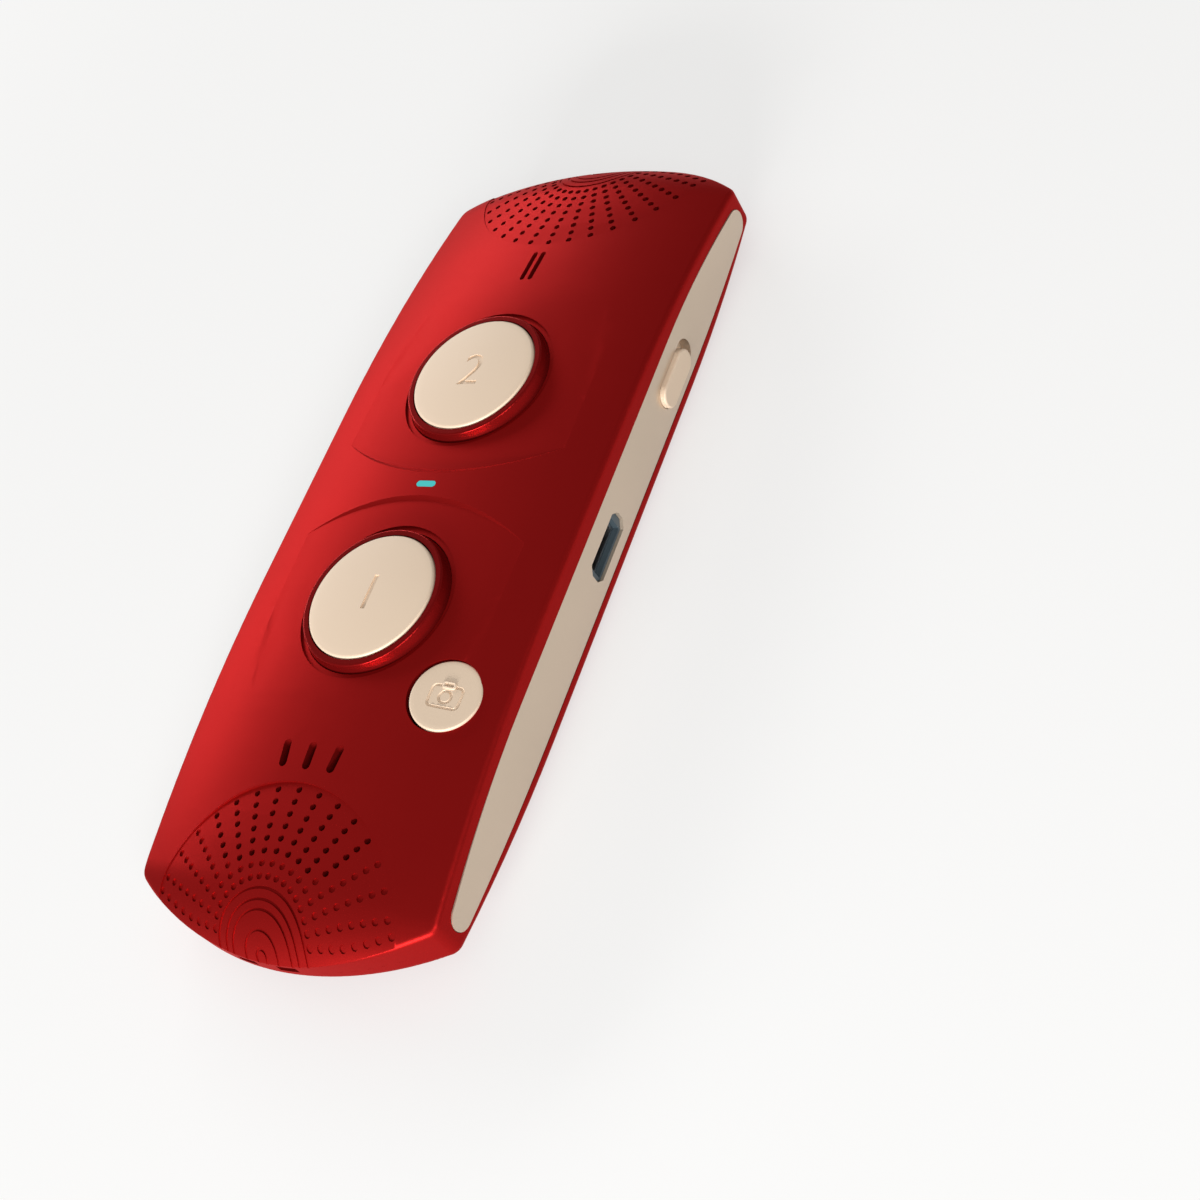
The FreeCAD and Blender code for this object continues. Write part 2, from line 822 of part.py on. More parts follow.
def front_shell():
    shell = outside.common(slab(parting_height, face_height + plan_margin)).cut(inside)
    ribs = []
    hole = talk_radius + talk_gap
    for y in (-talk_y, talk_y):
        ribs.append(post(0, y, retainer_height, face_height, hole + retainer_width))
    ribs.append(camera_frame(post(0, 0, -camera_button_cap + camera_flange_thickness, 0,
                                  camera_button_radius + camera_button_gap + camera_retainer_width)))
    for x, y in corners_of(case_screw_x, case_screw_y):
        ribs.append(post(x, y, case_boss_height + boss_joint_gap, face_height, case_boss_radius))
    for x, y in corners_of(board_screw_x, board_screw_y):
        ribs.append(post(x, y, board_top, face_height, board_boss_radius))
    seat = speaker_seat(0, speaker_seat_height, face_height)
    ribs += [seat, mirrored_y(seat), lanyard_block()]
    core = case_space(face_wall / 2, face_wall / 2, face_wall / 2, 0)
    shell = fuse_all([shell] + [rib.common(core) for rib in ribs])
    cuts = []
    for y in (-talk_y, talk_y):
        cuts.append(post(0, y, retainer_height - plan_margin, face_height + plan_margin, hole))
        seat_radius = hole + collar_band + collar_flare + collar_clearance
        cuts.append(post(0, y, collar_seat_height, face_height + plan_margin, seat_radius))
        moat = ring(0, y, collar_seat_height, face_height + plan_margin, hole, seat_radius + moat_width)
        cuts.append(moat.cut(below_face(moat_depth)))
    cuts.append(camera_frame(post(0, 0, -2 * camera_button_cap, camera_button_cap,
                                  camera_button_radius + camera_button_gap)))
    cuts += [thumb_zone(), mirrored_y(thumb_zone()), fan_floor(), mirrored_y(fan_floor())]
    cuts += [upper_slots(), lower_slots()]
    cuts.append(light_prism(light_clearance, retainer_height, face_height + plan_margin))
    for x, y in corners_of(case_screw_x, case_screw_y):
        depth = screw_floor + screw_length + plan_margin
        cuts.append(post(x, y, case_boss_height, depth, screw_shank_radius + pilot_clearance))
    for x, y in corners_of(board_screw_x, board_screw_y):
        cuts.append(post(x, y, board_top, board_top + board_screw_length, screw_shank_radius + pilot_clearance))
    cuts += [trim_pocket(1), trim_pocket(-1)] + side_openings()
    cuts += [lip_ring(lip_clearance, lip_height + lip_clearance), lanyard_loop()]
    cuts += fan_air(upper_mark_open) + [arch_grooves()]
    cuts += [mirrored_y(air) for air in fan_air(lower_mark_open) + [arch_grooves()]]
    for cut in cuts:
        shell = shell.cut(cut)
    return shell


def below_face(depth):
    """The case with the hollows of its face, lowered by a depth."""
    body = case_space(0, 0, depth, 0)
    for hollow in (thumb_zone(), fan_floor()):
        hollow.translate(Vector(0, 0, -depth))
        body = body.cut(hollow).cut(mirrored_y(hollow))
    return body


def light_prism(clear, z0, z1):
    return placed(pill(light_length + 2 * clear, light_width + 2 * clear, z1 - z0), 0, 0, z0)


def rear_shell():
    shell = outside.common(slab(-plan_margin, parting_height)).cut(inside)
    adds = [lip_ring(0, lip_height)]
    for x, y in corners_of(case_screw_x, case_screw_y):
        adds.append(post(x, y, 0, case_boss_height, case_boss_radius))
    adds += cradle_ribs()
    adds.append(post(0, lens_y, 0, back_wall + window_ledge, window_radius + window_ledge))
    core = case_space(face_wall / 2, face_wall / 2, 0, face_wall / 2)
    shell = fuse_all([shell] + [add.common(core) for add in adds])
    for x, y in corners_of(case_screw_x, case_screw_y):
        shell = shell.cut(post(x, y, -plan_margin, screw_floor + screw_head_height,
                               screw_head_radius + screw_clearance))
        shell = shell.cut(post(x, y, 0, case_boss_height, screw_shank_radius + screw_clearance))
    shell = shell.cut(lanyard_loop())
    shell = shell.cut(post(0, lens_y, -plan_margin, window_base + window_thickness,
                           window_radius + window_clearance))
    shell = shell.cut(post(0, lens_y, 0, case_boss_height, barrel_radius + window_clearance))
    for cut in [trim_pocket(1), trim_pocket(-1)] + side_openings():
        shell = shell.cut(cut)
    return shell


def cradle_ribs():
    """Low walls round the battery, open at the middle of each side."""
    x0 = battery_left - cradle_clearance
    x1 = battery_right + cradle_clearance
    y1 = battery_half_length + cradle_clearance
    top = back_wall + cradle_height
    outer = box(x0 - cradle_rib, x1 + cradle_rib, -y1 - cradle_rib, y1 + cradle_rib, 0, top)
    frame = outer.cut(box(x0, x1, -y1, y1, 0, top))
    middle = (x0 + x1) / 2
    gap_x = box(middle - cradle_gap / 2, middle + cradle_gap / 2, -body_length, body_length, 0, top)
    gap_y = box(-body_width, body_width, -cradle_gap, cradle_gap, 0, top)
    return [frame.cut(gap_x).cut(gap_y)]


def lanyard_loop():
    """Two holes in the lower end that join behind a bar."""
    front = -half_length - plan_margin
    deep = -half_length + lanyard_depth
    side = lanyard_bridge / 2
    whole = box(-side - lanyard_width, side + lanyard_width, front, deep, parting_height, lanyard_top)
    return whole.cut(box(-side, side, front, -half_length + lanyard_bar, parting_height, lanyard_top))


def lanyard_block():
    """Thicker wall round the lanyard holes, inside the lower end."""
    reach = lanyard_bridge / 2 + lanyard_width + lanyard_block_wall
    back = -half_length + lanyard_depth + lanyard_block_wall
    return box(-reach, reach, -half_length, back, parting_height, lanyard_top + lanyard_block_wall)


def side_trim(sign):
    plate = lens_prism(0, pocket_face, half_width + 2 * trim_crown)
    middle = (trim_top + trim_bottom) / 2
    half = (trim_top - trim_bottom) / 2
    sag = trim_crown + trim_edge_drop
    radius = (half * half + sag * sag) / (2 * sag)
    start = Vector(half_width + trim_crown - radius, -body_length, middle)
    plate = plate.common(Part.makeCylinder(radius, 2 * body_length, start, Vector(0, 1, 0)))
    if sign < 0:
        plate = plate.mirror(Vector(0, 0, 0), Vector(1, 0, 0))
    trim = fuse_all([plate] + trim_pegs(sign, 0))
    if sign > 0:
        trim = trim.cut(port_prism(0, pocket_face - plan_margin, half_width + plan_margin))
        trim = trim.cut(side_pill(slot_centre_y, slot_centre_z, slot_length, slot_width,
                                  pocket_face - plan_margin, half_width + plan_margin))
    return trim


def turned(edges):
    """A solid turned about Z from edges drawn in the XZ plane."""
    return Part.Face(Part.Wire(edges)).revolve(Vector(0, 0, 0), Vector(0, 0, 1), 360)


def outline(points):
    corners = [Vector(x, 0, z) for x, z in points]
    return [Part.makeLine(a, b) for a, b in zip(corners, corners[1:])]


def corner_arc(x0, z0, x1, z1, radius_x, radius_z):
    """A quarter round from (x0, z0) to (x1, z1)."""
    middle = Vector(x0 + radius_x * math.sin(math.pi / 4), 0, z1 + radius_z * math.cos(math.pi / 4))
    return Part.Arc(Vector(x0, 0, z0), middle, Vector(x1, 0, z1)).toShape()


def talk_button(y):
    r = talk_radius
    e = talk_edge_radius
    rim = talk_rim_height
    flange_top = retainer_height - rest_gap
    flange_bottom = flange_top - talk_flange_thickness
    foot = board_top + switch_height + plunger_rise + rest_gap / 2
    dome_edge = r - e
    big = (dome_edge * dome_edge + talk_dome * talk_dome) / (2 * talk_dome)
    half = dome_edge / 2
    half_z = rim + talk_dome - big + math.sqrt(big * big - half * half)
    dome = Part.Arc(Vector(0, 0, rim + talk_dome), Vector(half, 0, half_z), Vector(dome_edge, 0, rim)).toShape()
    edges = [dome, corner_arc(dome_edge, rim, r, rim - e, e, e)]
    edges += outline([
        (r, rim - e), (r, flange_top), (r + talk_flange_width, flange_top),
        (r + talk_flange_width, flange_bottom), (r - talk_skin, flange_bottom),
        (r - talk_skin, rim - talk_skin), (talk_post_radius, rim - talk_skin),
        (talk_post_radius, foot), (0, foot), (0, rim + talk_dome),
    ])
    button = turned(edges)
    button.translate(Vector(0, y, 0))
    return button


def talk_collar(y):
    inner = talk_radius + talk_gap
    band = inner + collar_band
    outer = band + collar_flare
    e = collar_edge_radius
    edges = outline([
        (outer, collar_seat_height), (outer, collar_seat_height + collar_foot), (band, collar_height - e),
    ])
    edges.append(Part.Arc(
        Vector(band, 0, collar_height - e),
        Vector(band - e * (1 - math.cos(math.pi / 4)), 0, collar_height - e * (1 - math.sin(math.pi / 4))),
        Vector(band - e, 0, collar_height),
    ).toShape())
    edges += outline([
        (band - e, collar_height), (inner, collar_height),
        (inner, collar_seat_height), (outer, collar_seat_height),
    ])
    collar = turned(edges)
    collar.translate(Vector(0, y, 0))
    return collar


def camera_button():
    r = camera_button_radius
    e = camera_button_edge
    low = -camera_button_cap
    top = low - camera_small_gap
    edges = [corner_arc(r - e, 0, r, -e, e, e)]
    edges += outline([
        (r, -e), (r, top + camera_flange_thickness), (r + camera_flange_width, top + camera_flange_thickness),
        (r + camera_flange_width, top), (0, top), (0, 0), (r - e, 0),
    ])
    cap = camera_frame(turned(edges))
    foot = board_top + small_switch_height + small_plunger_rise + rest_gap / 2
    stem = post(camera_switch_x, camera_button_y, foot, camera_button_z - camera_button_cap, camera_post_radius)
    return fuse_all([cap, stem])


def push_switch(x, y, size, height, radius, travel):
    half = size / 2
    body = box(x - half, x + half, y - half, y + half, board_top, board_top + height)
    depth = plunger_depth + travel + rest_gap
    bore = post(x, y, board_top + height - depth, board_top + height, radius + plunger_clearance)
    return body.cut(bore)


def plunger(x, y, height, radius, rise):
    top = board_top + height
    return post(x, y, top - plunger_depth, top + rise, radius)


def status_light_pipe():
    under = face_height - face_wall
    lens = light_prism(0, under - light_flange_thickness, face_height)
    plate = pill(light_length + 2 * light_flange, light_width + 2 * light_flange, light_flange_thickness)
    flange = placed(plate, 0, 0, under - rest_gap / 2 - light_flange_thickness)
    foot = board_top + led_height + led_gap
    stem = post(0, 0, foot, under - light_flange_thickness, light_stem)
    return fuse_all([lens, flange, stem])


def status_led():
    return box(-led_length / 2, led_length / 2, -led_width / 2, led_width / 2,
               board_top, board_top + led_height)


def grille_cloth():
    """Black cloth bonded inside the shell behind the upper fan."""
    near = case_space(side_wall, end_wall, face_wall + cloth_clearance, back_wall)
    far = case_space(side_wall, end_wall, face_wall + cloth_clearance + cloth_thickness, back_wall)
    inset = gasket_width + cloth_inset
    window = rounded_block(-speaker_length / 2 + inset, speaker_length / 2 - inset,
                           speaker_y - speaker_width / 2 + inset, speaker_y + speaker_width / 2 - inset,
                           speaker_seat_height, face_height, speaker_corner - gasket_width)
    return near.cut(far).common(window)


def circuit_board():
    board = rounded_block(-board_half_width, board_half_width, -board_half_length, board_half_length,
                          board_bottom, board_top, board_corner_radius)
    for x, y in corners_of(board_screw_x, board_screw_y):
        board = board.cut(post(x, y, board_bottom, board_top, screw_shank_radius + screw_clearance))
    return board


def shield_can():
    x0 = shield_x - shield_size_x / 2
    x1 = shield_x + shield_size_x / 2
    y = shield_size_y / 2
    can = rounded_block(x0, x1, -y, y, board_top, board_top + shield_height, shield_skin * 2)
    hollow = box(x0 + shield_skin, x1 - shield_skin, -y + shield_skin, y - shield_skin,
                 board_top, board_top + shield_height - shield_skin)
    return can.cut(hollow)


def board_chips():
    """Parts soldered on the board: a pair under the shield and two pairs beside it."""
    chips = []
    half = chip_side / 2
    for x in chip_columns:
        for y in (-chip_row_y, chip_row_y):
            chips.append(box(x - half, x + half, y - half, y + half, board_top, board_top + chip_height))
    return Part.makeCompound(chips)


def microphone(y):
    half = microphone_size / 2
    return box(-half, half, y - half, y + half, board_top, board_top + microphone_height)


def microphone_boot(y):
    """A rubber funnel from the slots to a microphone."""
    outer = box(-boot_length / 2, boot_length / 2, y - boot_width / 2, y + boot_width / 2,
                board_top, face_height)
    inner = box(-boot_length / 2 + boot_wall, boot_length / 2 - boot_wall,
                y - boot_width / 2 + boot_wall, y + boot_width / 2 - boot_wall, board_top, face_height)
    return outer.cut(inner).common(case_space(side_wall, end_wall, face_wall + boot_clearance, back_wall))


def board_antenna():
    return box(antenna_x - antenna_length / 2, antenna_x + antenna_length / 2,
               antenna_y - antenna_width / 2, antenna_y + antenna_width / 2,
               board_top, board_top + antenna_height)


def port_frame():
    x0 = half_width - port_frame_recess - port_frame_depth
    ring_solid = port_prism(-port_frame_clearance, x0, half_width - port_frame_recess)
    hole = box(x0, half_width, port_y - socket_length / 2 - socket_clearance, port_y + socket_length / 2 + socket_clearance,
               port_z - socket_height / 2 - socket_clearance, port_z + socket_height / 2 + socket_clearance)
    return ring_solid.cut(hole)


def charging_socket():
    x1 = half_width - socket_recess
    x0 = x1 - socket_depth
    z0 = port_z - socket_height / 2
    z1 = port_z + socket_height / 2
    y0 = port_y - socket_length / 2
    y1 = port_y + socket_length / 2
    shell = box(x0, x1, y0, y1, z0, z1)
    hollow = box(x0 + socket_back, x1, y0 + socket_skin, y1 - socket_skin, z0 + socket_skin, z1 - socket_skin)
    return shell.cut(hollow)


def socket_tongue():
    x1 = half_width - socket_recess
    x0 = x1 - socket_depth + socket_back
    return box(x0, x1 - socket_back, port_y - tongue_length / 2, port_y + tongue_length / 2,
               port_z, port_z + tongue_thickness)


def slider_knob():
    outer = half_width + trim_crown + knob_stand
    grip = side_pill(knob_y, slot_centre_z, knob_length, slot_width - 2 * knob_clearance, base_outer, outer)
    rim = [e for e in grip.Edges if e.BoundBox.XMin > outer - knob_edge]
    grip = grip.makeFillet(knob_edge, rim)
    base = side_pill(knob_y, slot_centre_z, knob_base_length, knob_base_width, base_inner, base_outer)
    z0 = slot_centre_z - fork_height / 2
    z1 = slot_centre_z + fork_height / 2
    fork = box(base_inner - fork_reach, base_inner, knob_y - fork_width / 2, knob_y + fork_width / 2, z0, z1)
    notch = lever_width / 2 + lever_clearance
    fork = fork.cut(box(base_inner - fork_reach, base_inner, knob_y - notch, knob_y + notch, z0, z1))
    return fuse_all([base, grip, fork])


def slide_switch_lever():
    z0 = slot_centre_z - lever_height / 2
    return box(slide_body_face - lever_root, slide_body_face + slide_body_gap,
               knob_y - lever_width / 2, knob_y + lever_width / 2, z0, z0 + lever_height)


def slide_switch_body():
    y0 = slot_centre_y - slide_body_length / 2
    body = box(slide_body_face - slide_body_depth, slide_body_face, y0, y0 + slide_body_length,
               board_bottom - slide_body_height, board_bottom)
    z0 = slot_centre_z - lever_height / 2 - lever_clearance
    z1 = slot_centre_z + lever_height / 2 + lever_clearance
    half = lever_width / 2 + lever_clearance
    channel = box(slide_body_face - lever_root - lever_clearance, slide_body_face,
                  knob_y - half, knob_y + knob_travel + half, z0, z1)
    return body.cut(channel)


def battery_pad():
    return box(battery_left + pad_inset, battery_right - pad_inset, -battery_half_length + pad_inset,
               battery_half_length - pad_inset, back_wall, back_wall + pad_thickness)


def battery_cell():
    z0 = back_wall + pad_thickness
    return rounded_block(battery_left, battery_right, -battery_half_length, battery_half_length,
                         z0, z0 + battery_thickness, battery_corner)


def battery_plug():
    return box(plug_x - plug_length / 2, plug_x + plug_length / 2, plug_y - plug_width / 2, plug_y + plug_width / 2,
               board_bottom - plug_height, board_bottom)


def battery_leads():
    z = board_bottom - plug_height / 2
    y1 = plug_y - plug_width / 2
    leads = []
    for side in (-1, 1):
        start = Vector(plug_x + side * lead_pitch / 2, battery_half_length, z - lead_radius)
        leads.append(Part.makeCylinder(lead_radius, y1 - battery_half_length, start, Vector(0, 1, 0)))
    return Part.makeCompound(leads)


def speaker():
    z1 = speaker_seat_height - gasket_thickness
    z0 = z1 - speaker_thickness
    body = rounded_block(-speaker_length / 2, speaker_length / 2, speaker_y - speaker_width / 2,
                         speaker_y + speaker_width / 2, z0, z1, speaker_corner)
    inset = speaker_cone_inset
    cone = rounded_block(-speaker_length / 2 + inset, speaker_length / 2 - inset,
                         speaker_y - speaker_width / 2 + inset, speaker_y + speaker_width / 2 - inset,
                         z1 - speaker_cone_depth, z1, speaker_corner - inset / 2)
    return body.cut(cone)


def speaker_gasket():
    return speaker_seat(0, speaker_seat_height - gasket_thickness, speaker_seat_height)


def case_screws():
    screws = []
    for x, y in corners_of(case_screw_x, case_screw_y):
        seat = screw_floor + screw_head_height
        head = post(x, y, screw_floor, seat, screw_head_radius)
        slot = box(x - screw_head_radius, x + screw_head_radius, y - screw_slot_width / 2,
                   y + screw_slot_width / 2, screw_floor, screw_floor + screw_slot_depth)
        shank = post(x, y, seat, screw_floor + screw_length, screw_shank_radius)
        screws.append(head.cut(slot).fuse(shank))
    return Part.makeCompound(screws)


def board_screws():
    screws = []
    for x, y in corners_of(board_screw_x, board_screw_y):
        head = post(x, y, board_bottom - board_head_height, board_bottom, board_head_radius)
        low = board_bottom - board_head_height
        slot = box(x - board_head_radius, x + board_head_radius, y - screw_slot_width / 2,
                   y + screw_slot_width / 2, low, low + screw_slot_depth)
        shank = post(x, y, board_bottom, board_bottom + board_screw_length, screw_shank_radius)
        screws.append(head.cut(slot).fuse(shank))
    return Part.makeCompound(screws)


def camera_window():
    return post(0, lens_y, window_base, window_base + window_thickness, window_radius)


def camera_module():
    z0 = board_bottom - camera_module_height
    half = camera_module_size / 2
    block = box(-half, half, lens_y - half, lens_y + half, z0, board_bottom)
    barrel = post(0, lens_y, window_base + window_thickness + rest_gap, z0, barrel_radius)
    return block.fuse(barrel)


# Places worked out where one piece meets another
camera_button_z = face_at(camera_button_x, camera_button_y)
camera_drop = camera_button_cap + camera_small_gap
camera_switch_x = camera_button_x - camera_drop * math.sin(math.radians(camera_button_tilt_deg))
knob_y = slot_centre_y - knob_travel / 2
knob_base_length = slot_length + knob_travel + knob_base_overlap
knob_base_width = slot_width + knob_base_overlap
base_outer = pocket_face - knob_base_gap
base_inner = base_outer - knob_base_thickness
slide_body_face = base_inner - fork_reach - rest_gap
lever_root = slide_body_depth - 2 * slide_body_wall
window_base = back_rise(lens_y + window_radius)
speaker_seat_height = face_at(speaker_length / 2, speaker_y + speaker_width / 2, face_wall) - speaker_face_gap

outside = case_outside()
inside = case_space(side_wall, end_wall, face_wall, back_wall)

os.makedirs("parts", exist_ok=True)
save("front_shell", front_shell())
save("rear_shell", rear_shell())
save("right_side_trim", side_trim(1))
save("left_side_trim", side_trim(-1))
save("status_light_pipe", status_light_pipe())
save("status_led", status_led())
save("main_circuit_board", circuit_board())
save("shield_can", shield_can())
save("board_chips", board_chips())
save("board_antenna", board_antenna())
for name, y in (("upper", talk_y), ("lower", -talk_y)):
    save(name + "_talk_button", talk_button(y))
    save(name + "_button_collar", talk_collar(y))
    save(name + "_talk_switch", push_switch(0, y, switch_size, switch_height, plunger_radius, talk_travel))
    save(name + "_talk_plunger", plunger(0, y, switch_height, plunger_radius, plunger_rise))
save("camera_button", camera_button())
save("camera_switch", push_switch(camera_switch_x, camera_button_y, small_switch_size, small_switch_height,
                                  small_plunger_radius, camera_travel))
save("camera_plunger", plunger(camera_switch_x, camera_button_y, small_switch_height, small_plunger_radius,
                               small_plunger_rise))
save("power_slider_knob", slider_knob())
save("slide_switch_body", slide_switch_body())
save("slide_switch_lever", slide_switch_lever())
save("port_frame", port_frame())
save("charging_socket", charging_socket())
save("socket_tongue", socket_tongue())
save("battery_cell", battery_cell())
save("battery_pad", battery_pad())
save("battery_plug", battery_plug())
save("battery_leads", battery_leads())
save("upper_speaker", speaker())
save("lower_speaker", mirrored_y(speaker()))
save("upper_speaker_gasket", speaker_gasket())
save("lower_speaker_gasket", mirrored_y(speaker_gasket()))
save("upper_grille_cloth", grille_cloth())
save("lower_grille_cloth", mirrored_y(grille_cloth()))
for name, y in (("upper", microphone_y), ("lower", -microphone_y)):
    save(name + "_microphone", microphone(y))
    save(name + "_microphone_boot", microphone_boot(y))
save("case_screws", case_screws())
save("board_screws", board_screws())
save("camera_module", camera_module())
save("camera_window", camera_window())
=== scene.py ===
# %% [markdown]
# # A slim handheld translator
# The part is a red moulded case with champagne keys, a champagne strip along each side,
# fans of sound holes at both ends and a small cyan light in the middle.
# Its solids come in ready packed, each at its own place, so this script only dresses them:
# it adds a floor, lamps, a camera and finishes, shades the front shell more softly, and
# models the three keys again with what is engraved on them.
# Everything is in metres, and the part lies on its back on the floor, z = 0.

# %% Load the part
import json
import math

import bpy
from mathutils import Matrix, Vector


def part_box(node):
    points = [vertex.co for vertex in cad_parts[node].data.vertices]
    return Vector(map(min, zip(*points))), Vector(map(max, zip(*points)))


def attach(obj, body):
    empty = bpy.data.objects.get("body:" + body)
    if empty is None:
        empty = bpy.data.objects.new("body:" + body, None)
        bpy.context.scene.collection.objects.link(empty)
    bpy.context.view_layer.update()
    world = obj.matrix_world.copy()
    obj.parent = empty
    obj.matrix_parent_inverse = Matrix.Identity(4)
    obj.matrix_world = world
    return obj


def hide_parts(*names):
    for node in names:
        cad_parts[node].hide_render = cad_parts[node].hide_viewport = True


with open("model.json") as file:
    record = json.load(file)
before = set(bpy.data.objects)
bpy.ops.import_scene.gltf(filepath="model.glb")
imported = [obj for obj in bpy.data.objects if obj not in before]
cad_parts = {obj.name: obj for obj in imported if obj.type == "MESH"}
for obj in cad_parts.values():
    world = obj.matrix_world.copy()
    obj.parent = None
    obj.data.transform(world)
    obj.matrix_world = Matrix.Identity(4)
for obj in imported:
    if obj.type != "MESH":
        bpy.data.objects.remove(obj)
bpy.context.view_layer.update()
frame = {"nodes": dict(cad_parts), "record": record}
nodes = frame["nodes"]
scene = bpy.context.scene
scene.view_settings.view_transform = "Standard"
mm = 0.001

# %% [markdown]
# ## The camera
# The photograph looks down on the face from the right of its lower end, and the camera is
# rolled, so that the part seems to stand on its lower corner. A camera is an object like any
# other: its own x axis points right in the picture, its y axis up and its z axis backwards.
# Writing those axes into the matrix sets the roll too, which aiming at a point would not.

# %% Camera
camera_place = Vector((148.7, -107.5, 169.8)) * mm
picture_right = Vector((0.8411, 0.3297, -0.4288))
picture_up = Vector((-0.0550, 0.8408, 0.5385))
camera_lens = 51.99
sensor_width = 36.0
nearest_seen = 10 * mm


def add_camera():
    """The photograph's camera: a place, a picture plane and a lens."""
    data = bpy.data.cameras.new("camera")
    data.lens = camera_lens
    data.sensor_width = sensor_width
    data.clip_start = nearest_seen
    camera = bpy.data.objects.new("camera", data)
    scene.collection.objects.link(camera)
    right = picture_right.normalized()
    back = right.cross(picture_up).normalized()
    turn = Matrix((right, back.cross(right), back)).transposed()
    camera.matrix_world = Matrix.Translation(camera_place) @ turn.to_4x4()
    scene.camera = camera


add_camera()
print("camera", round(camera_place.length / mm), "mm from the part's middle")

# %% [markdown]
# ## The floor and the sky
# A plain pale sheet stands in for the photo studio's table. It could be made pale with
# more light, but that would wash out the part too. Instead the floor glows a little, and
# only for what looks at it straight, in a mirror or through glass. A Light Path node
# tells those rays apart, so the part's own shadow stays on the floor.

# %% Floor and world
floor_size = 6.0
floor_colour = (0.45, 0.449, 0.446, 1)
floor_roughness = 0.85
floor_gloss = 0.1
floor_glow = 1.15
sky_colour = (1.0, 0.99, 0.97, 1)
sky_strength = 0.28


def add_node(tree, kind, **settings):
    """A node of a kind, with its settings."""
    node = tree.nodes.new(kind)
    for key, value in settings.items():
        setattr(node, key, value)
    return node


def math_node(tree, operation, first, second):
    """One step of arithmetic; each operand is a socket or a number."""
    node = add_node(tree, "ShaderNodeMath", operation=operation)
    for place, value in enumerate((first, second)):
        if isinstance(value, (int, float)):
            node.inputs[place].default_value = value
        else:
            tree.links.new(value, node.inputs[place])
    return node.outputs[0]


def new_material(name, **sockets):
    """A material with one Principled shader; returns it, its tree and the shader.
    Each named value is set on the socket of that name, with spaces for underscores."""
    material = bpy.data.materials.new(name)
    material.use_nodes = True
    paint = material.node_tree.nodes["Principled BSDF"]
    for title, value in sockets.items():
        paint.inputs[title.replace("_", " ")].default_value = value
    return material, material.node_tree, paint


def add_floor():
    """One large pale sheet under the part."""
    bpy.ops.object.select_all(action="DESELECT")
    bpy.ops.mesh.primitive_plane_add(size=floor_size)
    floor = bpy.context.object
    floor.name = "floor"
    material, tree, paint = new_material(
        "pale_floor",
        Base_Color=floor_colour,
        Roughness=floor_roughness,
        Specular_IOR_Level=floor_gloss,
        Emission_Color=floor_colour,
    )
    path = add_node(tree, "ShaderNodeLightPath")
    seen = math_node(tree, "ADD", path.outputs["Is Camera Ray"], path.outputs["Is Glossy Ray"])
    seen = math_node(tree, "ADD", seen, path.outputs["Is Transmission Ray"])
    glow = math_node(tree, "MULTIPLY", seen, floor_glow)
    tree.links.new(glow, paint.inputs["Emission Strength"])
    floor.data.materials.append(material)


def set_world():
    """Plain soft light from all round."""
    world = bpy.data.worlds.new("studio")
    scene.world = world
    world.use_nodes = True
    sky = world.node_tree.nodes["Background"]
    sky.inputs["Color"].default_value = sky_colour
    sky.inputs["Strength"].default_value = sky_strength


add_floor()
set_world()
print("floor", floor_size, "m wide")

# %% [markdown]
# ## The lamps
# The main lamp is long and stands low along the left side, so the case, which is arched
# across, shades from bright red on the left to dark red on the right. A low lamp beyond the
# lower end lights the rounded nose, and one near the camera lights the keys and the
# champagne strip. An area lamp shines along its own -z axis, so turning its z axis away
# from the part aims it.

# %% Lamps
lamps = {  # place, width, height (m) and power (W)
    "long_left_lamp": (Vector((-0.75, 0.43, 0.32)), 1.00, 0.16, 4.4),
    "low_end_lamp": (Vector((0.10, -0.85, 0.18)), 0.50, 0.14, 9.0),
    "near_camera_lamp": (Vector((0.60, -0.42, 0.54)), 0.40, 0.40, 3.3),
}


def add_lamp(name, place, width, height, power):
    """An oblong soft lamp that faces the part, its width level."""
    data = bpy.data.lights.new(name, "AREA")
    data.shape = "RECTANGLE"
    data.size = width
    data.size_y = height
    data.energy = power
    lamp = bpy.data.objects.new(name, data)
    scene.collection.objects.link(lamp)
    lamp.location = place
    lamp.rotation_euler = place.to_track_quat("Z", "Y").to_euler()


for name, (place, width, height, power) in lamps.items():
    add_lamp(name, place, width, height, power)
print(len(lamps), "lamps")

# %% [markdown]
# ## The grain
# Paint and moulded plastic are never quite even: they have a fine grain, and their colour
# drifts a little over a hand's width. Two noises make both. They read Object coordinates,
# so they sit still on the part, and they are one node group, because every finish uses it.

# %% Shared effect: the grain
grain_scale = 4000.0
drift_scale = 60.0
noise_detail = 2.0


def new_group(name, inputs, outputs):
    """A shader node group of plain numbers: its inputs with their values, and its outputs."""
    group = bpy.data.node_groups.new(name, "ShaderNodeTree")
    for title, value in inputs.items():
        socket = group.interface.new_socket(
            title, in_out="INPUT", socket_type="NodeSocketFloat"
        )
        socket.default_value = value
    for title in outputs:
        group.interface.new_socket(title, in_out="OUTPUT", socket_type="NodeSocketFloat")
    return group, add_node(group, "NodeGroupInput"), add_node(group, "NodeGroupOutput")


def grain_group():
    """Two noises in the part's own space: a fine one for the grain, a broad one for drift."""
    tree, start, end = new_group(
        "grain", {"Fine Scale": grain_scale, "Broad Scale": drift_scale}, ("Fine", "Broad")
    )
    place = add_node(tree, "ShaderNodeTexCoord")
    for title in ("Fine", "Broad"):
        noise = add_node(tree, "ShaderNodeTexNoise")
        noise.inputs["Detail"].default_value = noise_detail
        tree.links.new(place.outputs["Object"], noise.inputs["Vector"])
        tree.links.new(start.outputs[title + " Scale"], noise.inputs["Scale"])
        tree.links.new(noise.outputs["Fac"], end.inputs[title])
    return tree


grain = grain_group()
print("group:", grain.name)

